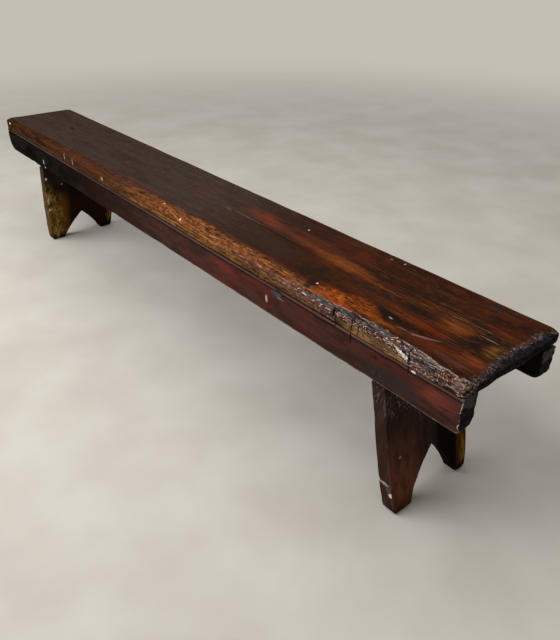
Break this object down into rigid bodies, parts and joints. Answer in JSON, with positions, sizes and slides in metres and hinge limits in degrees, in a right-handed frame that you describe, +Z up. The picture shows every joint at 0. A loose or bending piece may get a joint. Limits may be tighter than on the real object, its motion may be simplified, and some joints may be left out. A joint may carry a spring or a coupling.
{
  "type": "pig bench",
  "caption": "Long low country bench: a worn plank seat over beaded aprons, nailed to splayed board legs with a pointed notch cut between the feet.",
  "frame": {"origin": "on the floor below the middle of the seat", "axes": "+X along the seat to the end with the shorter overhang, +Y to the rear edge, +Z up"},
  "size_m": [2.316, 0.284, 0.44],
  "materials": {
    "seat_wood": "worn, waxed dark stain",
    "front_apron_wood": "waxed red-brown stain",
    "rear_apron_wood": "waxed red-brown stain",
    "near_leg_wood": "dark brown stain",
    "far_leg_wood": "worn stain over bare pine",
    "nail_iron": "dark rusted iron"
  },
  "bodies": {
    "root": {"seat_board": "seat_wood", "front_apron": "front_apron_wood", "rear_apron": "rear_apron_wood", "near_leg": "near_leg_wood", "far_leg": "far_leg_wood", "front_edge_nail_1": "nail_iron", "front_edge_nail_2": "nail_iron", "front_edge_nail_3": "nail_iron", "front_edge_nail_4": "nail_iron", "front_edge_nail_5": "nail_iron", "front_edge_nail_6": "nail_iron", "front_edge_nail_7": "nail_iron", "rear_edge_nail_1": "nail_iron", "rear_edge_nail_2": "nail_iron", "rear_edge_nail_3": "nail_iron", "rear_edge_nail_4": "nail_iron", "rear_edge_nail_5": "nail_iron", "rear_edge_nail_6": "nail_iron", "rear_edge_nail_7": "nail_iron", "front_near_joint_nail_1": "nail_iron", "front_near_joint_nail_2": "nail_iron", "front_far_joint_nail_1": "nail_iron", "front_far_joint_nail_2": "nail_iron", "rear_near_joint_nail_1": "nail_iron", "rear_near_joint_nail_2": "nail_iron", "rear_far_joint_nail_1": "nail_iron", "rear_far_joint_nail_2": "nail_iron", "near_leg_nail_1": "nail_iron", "near_leg_nail_2": "nail_iron", "far_leg_nail_1": "nail_iron", "far_leg_nail_2": "nail_iron"}
  },
  "joints": []
}
